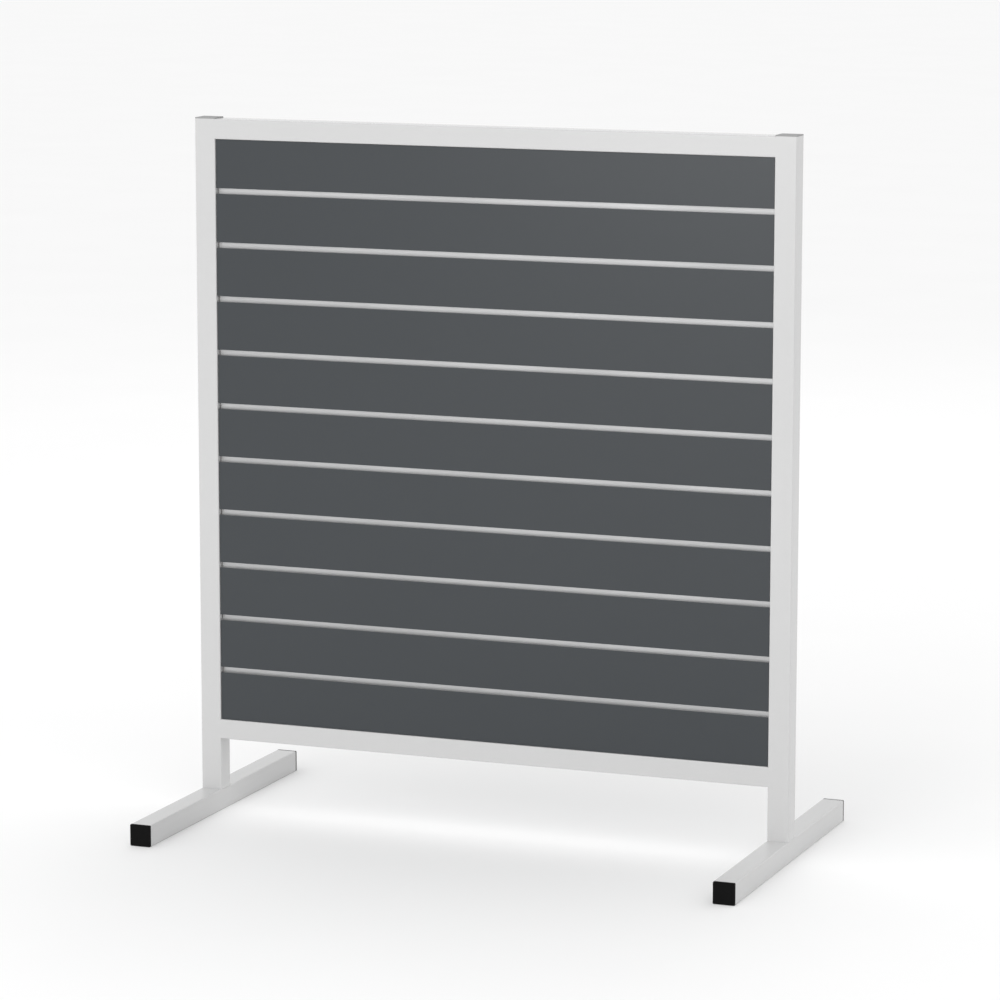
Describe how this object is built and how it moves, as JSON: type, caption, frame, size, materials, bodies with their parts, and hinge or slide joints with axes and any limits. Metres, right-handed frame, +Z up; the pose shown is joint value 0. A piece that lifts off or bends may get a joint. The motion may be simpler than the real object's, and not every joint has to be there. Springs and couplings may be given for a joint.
{
  "type": "slatwall display stand",
  "caption": "Free-standing slatwall panel: a grooved board with aluminium groove inserts in a square-tube frame on two front-to-back feet.",
  "frame": {"origin": "on the floor, midway between the uprights and between the feet's front and rear ends", "axes": "+X along the board to the right, +Y to the back, +Z up"},
  "size_m": [1.158, 0.655, 1.3057],
  "materials": {
    "frame_paint": "fine-texture light grey powder coat",
    "board_laminate": "matt slate-grey melamine on MDF",
    "insert_aluminium": "satin anodised",
    "black_plastic": "moulded, fine grain",
    "grey_plastic": "moulded, fine grain",
    "zinc_steel": "zinc plated"
  },
  "bodies": {
    "root": {"left_upright": "frame_paint", "left_upright_cap": "grey_plastic", "left_end_plate": "zinc_steel", "left_foot": "frame_paint", "left_foot_front_cap": "black_plastic", "left_foot_rear_cap": "black_plastic", "right_upright": "frame_paint", "right_upright_cap": "grey_plastic", "right_end_plate": "zinc_steel", "right_foot": "frame_paint", "right_foot_front_cap": "black_plastic", "right_foot_rear_cap": "black_plastic", "top_rail": "frame_paint", "bottom_rail": "frame_paint", "slatwall_board": "board_laminate", "groove_insert_01": "insert_aluminium", "groove_insert_02": "insert_aluminium", "groove_insert_03": "insert_aluminium", "groove_insert_04": "insert_aluminium", "groove_insert_05": "insert_aluminium", "groove_insert_06": "insert_aluminium", "groove_insert_07": "insert_aluminium", "groove_insert_08": "insert_aluminium", "groove_insert_09": "insert_aluminium", "groove_insert_10": "insert_aluminium", "left_tab_1": "frame_paint", "left_tab_2": "frame_paint", "left_tab_3": "frame_paint", "left_tab_4": "frame_paint", "right_tab_1": "frame_paint", "right_tab_2": "frame_paint", "right_tab_3": "frame_paint", "right_tab_4": "frame_paint", "top_tab_1": "frame_paint", "top_tab_2": "frame_paint", "top_tab_3": "frame_paint", "bottom_tab_1": "frame_paint", "bottom_tab_2": "frame_paint", "bottom_tab_3": "frame_paint", "foot_washers": "zinc_steel", "foot_screws": "zinc_steel", "tab_screws": "zinc_steel"}
  },
  "joints": []
}
